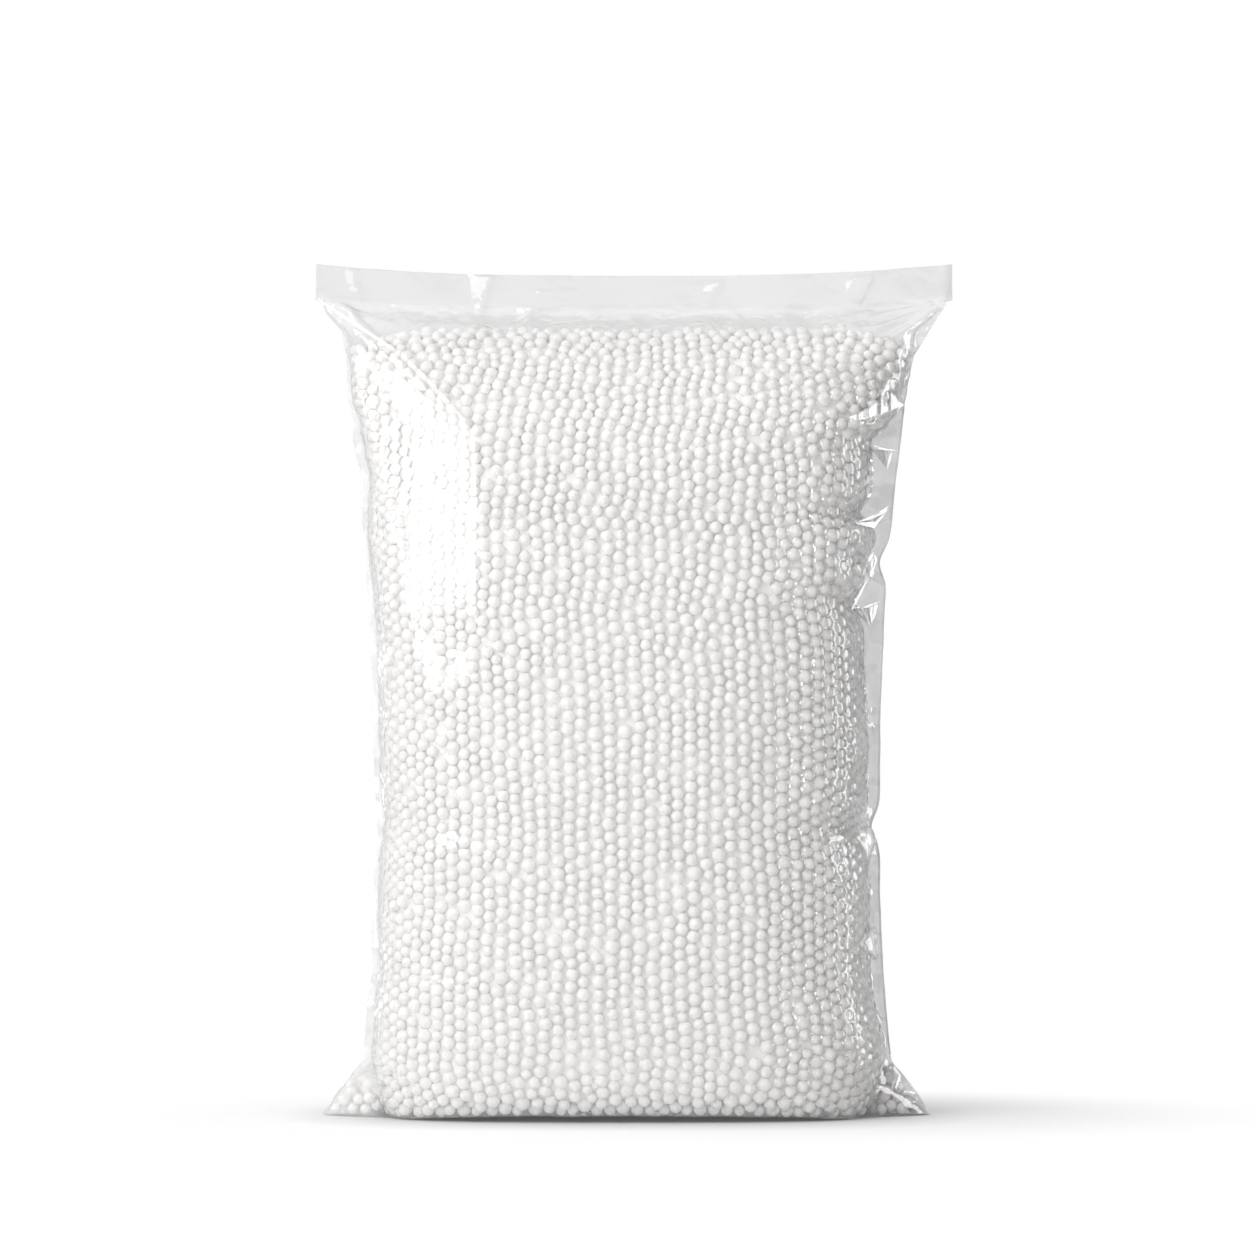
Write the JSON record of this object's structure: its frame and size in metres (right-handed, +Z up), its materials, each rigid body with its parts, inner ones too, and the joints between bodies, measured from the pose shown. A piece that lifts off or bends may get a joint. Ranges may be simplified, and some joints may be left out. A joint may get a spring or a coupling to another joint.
{
  "type": "bag of polystyrene beads",
  "caption": "Clear film bag packed full of small white polystyrene beads, heat sealed under a flat header, standing upright on its fill.",
  "frame": {"origin": "on the floor under the middle of the standing bag", "axes": "+Z up the bag to its header, +X along the seal to the bag's left, -Y out of its front face"},
  "size_m": [0.2402, 0.104, 0.321],
  "materials": {
    "clear_film": "clear, glossy polyethylene film",
    "bead_foam": "white expanded polystyrene, fine skin"
  },
  "bodies": {
    "root": {"film_bag": "clear_film", "bead_fill": "bead_foam", "ear_bead_left_1": "bead_foam", "ear_bead_left_2": "bead_foam", "ear_bead_left_3": "bead_foam", "ear_bead_left_4": "bead_foam", "ear_bead_left_5": "bead_foam", "ear_bead_right_1": "bead_foam", "ear_bead_right_2": "bead_foam", "ear_bead_right_3": "bead_foam", "ear_bead_right_4": "bead_foam", "ear_bead_right_5": "bead_foam"}
  },
  "joints": []
}
